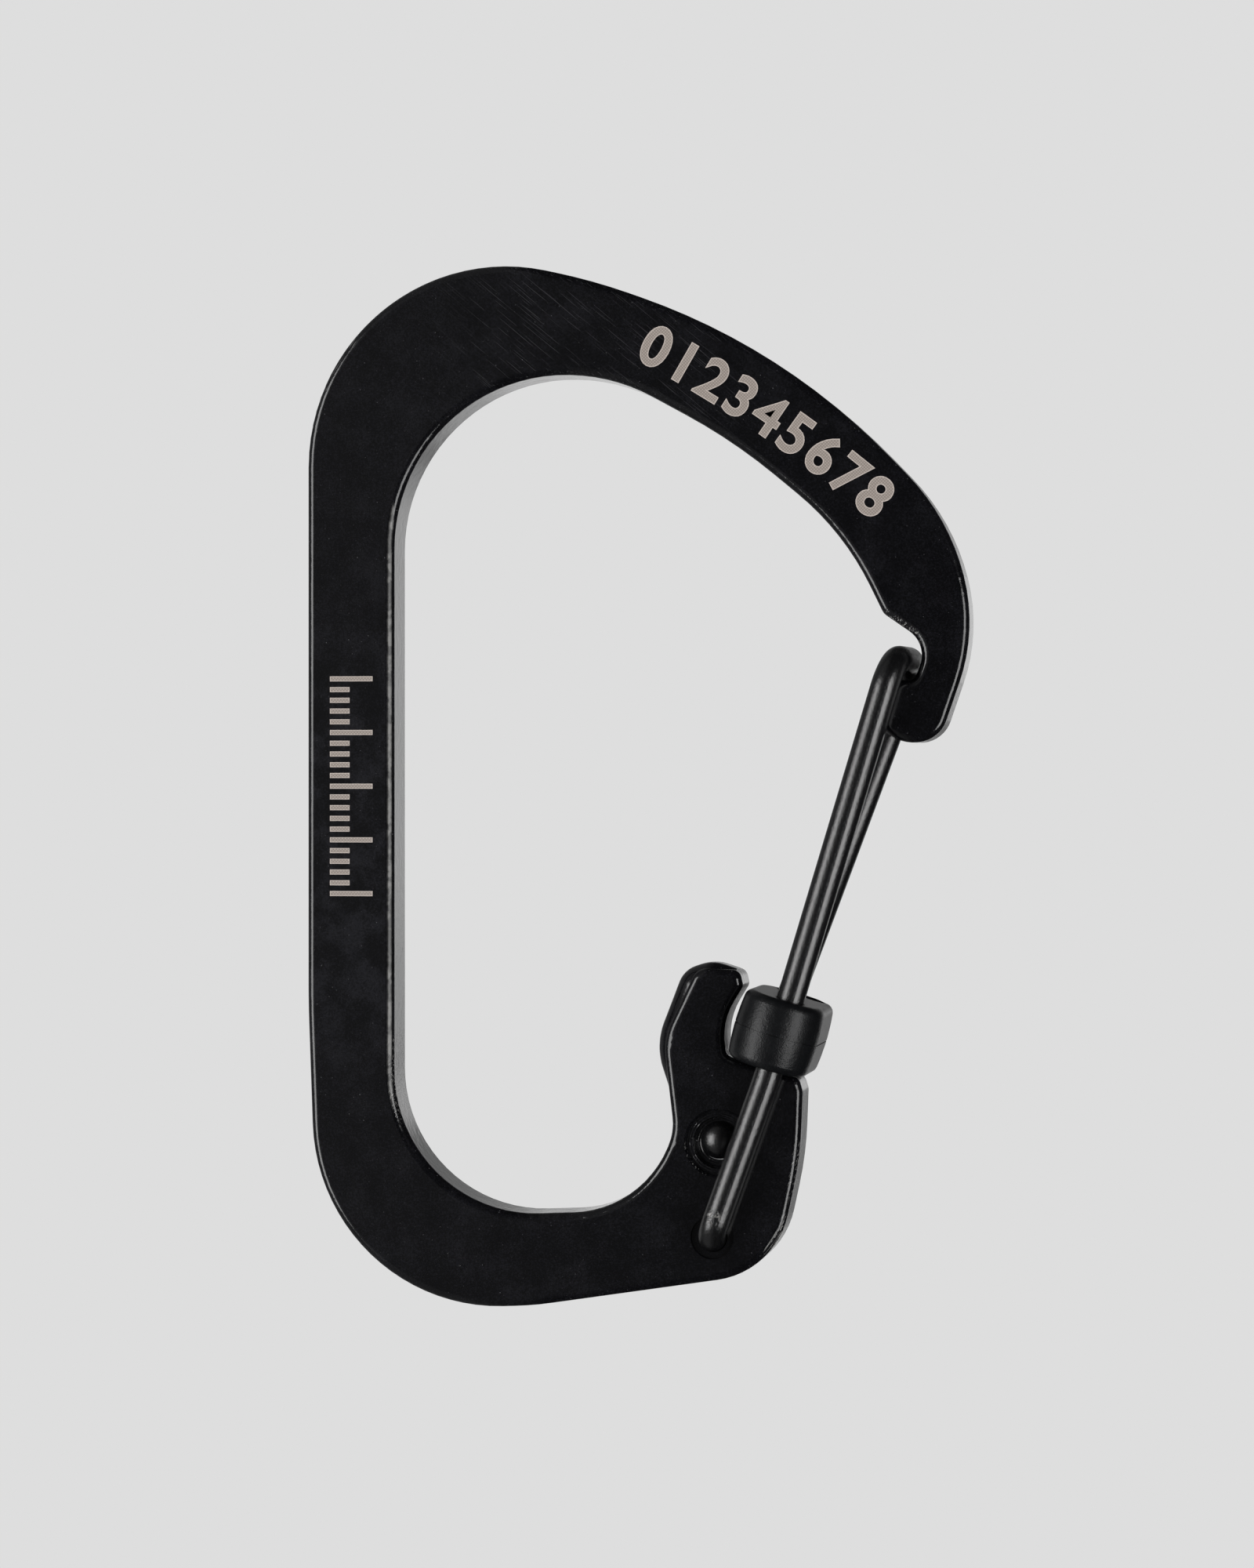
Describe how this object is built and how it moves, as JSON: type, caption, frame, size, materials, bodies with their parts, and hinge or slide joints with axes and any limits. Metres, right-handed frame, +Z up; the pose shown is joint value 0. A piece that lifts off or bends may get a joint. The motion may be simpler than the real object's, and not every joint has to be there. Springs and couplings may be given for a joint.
{
  "type": "slide-lock carabiner",
  "caption": "Flat D-shaped steel carabiner whose bent-wire gate is locked shut by a small moulded slider riding on the wire.",
  "frame": {"origin": "middle of the whole assembly's bounding box with the gate shut", "axes": "+X from the spine to the gate, +Y through the plate from front to back, +Z up to the top bight"},
  "size_m": [0.0395, 0.0096, 0.0618],
  "materials": {
    "frame_coating": "gloss",
    "wire_coating": "satin",
    "slider_plastic": "fine texture"
  },
  "bodies": {
    "frame": {"frame": "frame_coating"},
    "gate_front": {"gate_front_leg": "wire_coating"},
    "gate_back": {"gate_back_leg": "wire_coating"},
    "slider": {"slider_lock": "slider_plastic"}
  },
  "joints": [
    {"name": "gate_swing", "type": "hinge", "parent": "frame", "child": "gate_front", "pos_m": [0.00452, 0, -0.02655], "axis": [0, -1, 0], "range_deg": [0, 18], "stiffness_Nm_per_rad": 0.1, "springref_deg": -17.19},
    {"name": "gate_twist", "type": "hinge", "parent": "gate_front", "child": "gate_back", "pos_m": [0.01567, 0, 0.0074], "axis": [0, -1, 0], "range_deg": [0, 3.3]},
    {"name": "slider_lift", "type": "slide", "parent": "gate_front", "child": "slider", "axis": [0.2884, 0, 0.9575], "range_m": [0, 0.0145]}
  ],
  "couplings": [
    {"joint": "gate_twist", "follows": "gate_swing", "ratio": 0.182},
    {"joint": "slider_lift", "follows": "gate_swing", "m_per_rad": 0.046}
  ]
}
